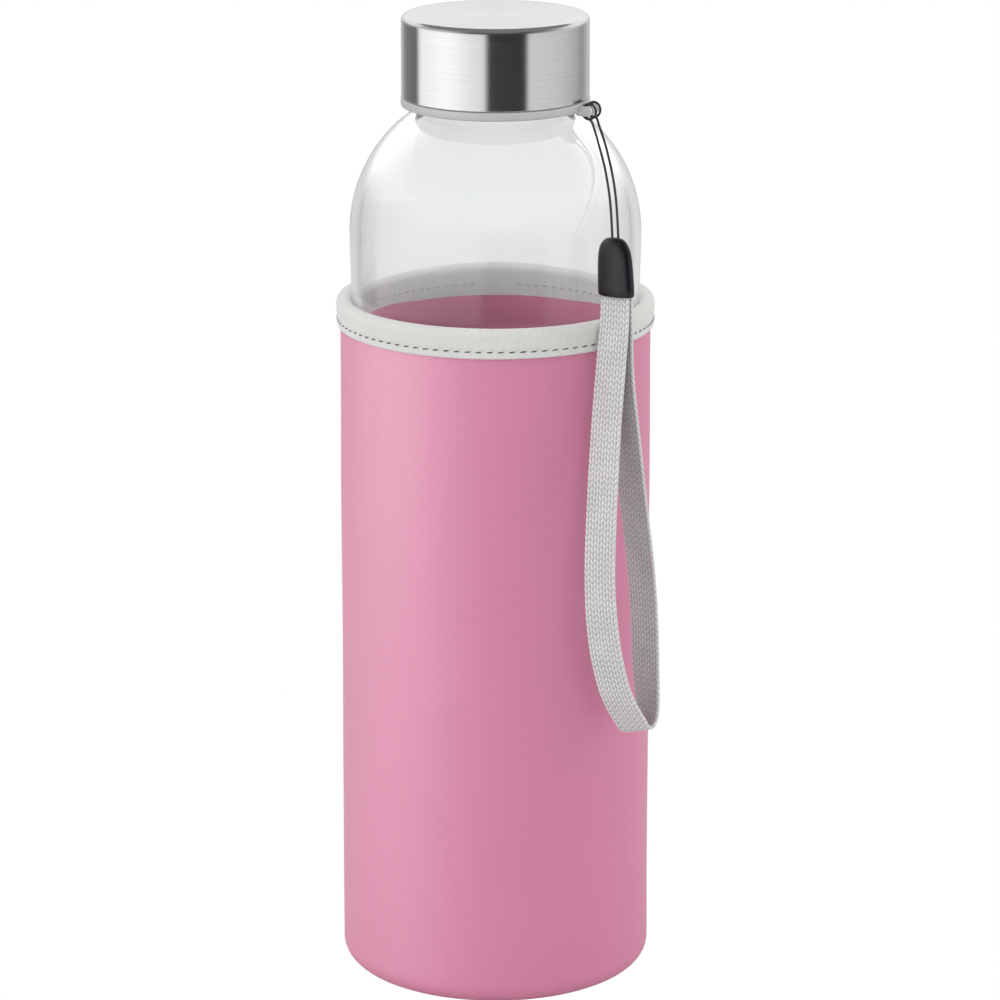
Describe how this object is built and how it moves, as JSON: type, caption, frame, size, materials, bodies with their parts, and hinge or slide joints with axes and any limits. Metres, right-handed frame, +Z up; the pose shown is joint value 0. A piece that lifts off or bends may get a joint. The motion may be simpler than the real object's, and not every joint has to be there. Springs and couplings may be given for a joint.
{
  "type": "glass water bottle",
  "caption": "Round glass water bottle with a metal screw cap, a padded fabric sleeve and a webbing hand strap hung from a ring on its neck.",
  "frame": {"origin": "middle of the sleeve's base, on the surface the bottle stands on", "axes": "+Z up along the bottle's axis; the hand strap hangs at 45 degrees between +X and -Y"},
  "size_m": [0.0737, 0.0782, 0.22],
  "materials": {
    "cover_fabric": "fine knit over foam, soft sheen",
    "foam": "closed-cell foam",
    "lining_fabric": "fine knit",
    "seam_thread": "matching sewing thread",
    "binding_tape": "fine ribbed tape",
    "stitch_thread": "dark sewing thread",
    "clear_glass": "clear polished glass",
    "silicone": "matte food-grade silicone",
    "brushed_steel": "circumferential fine brushing",
    "cap_plastic": "moulded polypropylene",
    "ring_plastic": "frosted grey plastic",
    "dark_cord": "braided polyester cord",
    "end_cap_plastic": "satin moulded plastic",
    "webbing": "light grey herringbone webbing"
  },
  "bodies": {
    "sleeve": {"sleeve_cover": "cover_fabric", "sleeve_pad": "foam", "sleeve_lining": "lining_fabric", "base_cover": "cover_fabric", "base_pad": "foam", "base_lining": "lining_fabric", "base_seam_thread": "seam_thread", "side_seam_thread": "seam_thread", "rim_binding": "binding_tape", "binding_thread": "stitch_thread"},
    "bottle": {"glass_bottle": "clear_glass"},
    "seal": {"cap_seal": "silicone"},
    "cap": {"cap_shell": "brushed_steel", "cap_insert": "cap_plastic"},
    "neck_ring": {"neck_ring": "ring_plastic"},
    "lanyard": {"cord_hitch": "dark_cord", "cord_strand_left": "dark_cord", "cord_strand_right": "dark_cord", "cord_knot": "dark_cord", "strap_end_cap": "end_cap_plastic", "webbing_loop": "webbing"}
  },
  "joints": [
    {"name": "bottle_lift", "type": "slide", "parent": "sleeve", "child": "bottle", "axis": [0, 0, 1], "range_m": [0, 0.165]},
    {"name": "cap_rise", "type": "slide", "parent": "bottle", "child": "seal", "axis": [0, 0, 1], "range_m": [0, 0.022]},
    {"name": "cap_turn", "type": "hinge", "parent": "seal", "child": "cap", "pos_m": [0, 0, 0.21], "axis": [0, 0, 1], "range_deg": [0, 1980]},
    {"name": "ring_turn", "type": "hinge", "parent": "bottle", "child": "neck_ring", "pos_m": [0, 0, 0.2008], "axis": [0, 0, 1], "continuous": true},
    {"name": "lanyard_swing", "type": "hinge", "parent": "neck_ring", "child": "lanyard", "pos_m": [0.02108, -0.00852, 0.20024], "axis": [-0.3746, -0.9272, 0], "range_deg": [0, 100]}
  ],
  "couplings": [
    {"joint": "cap_rise", "follows": "cap_turn", "m_per_rad": 0.00063662}
  ]
}
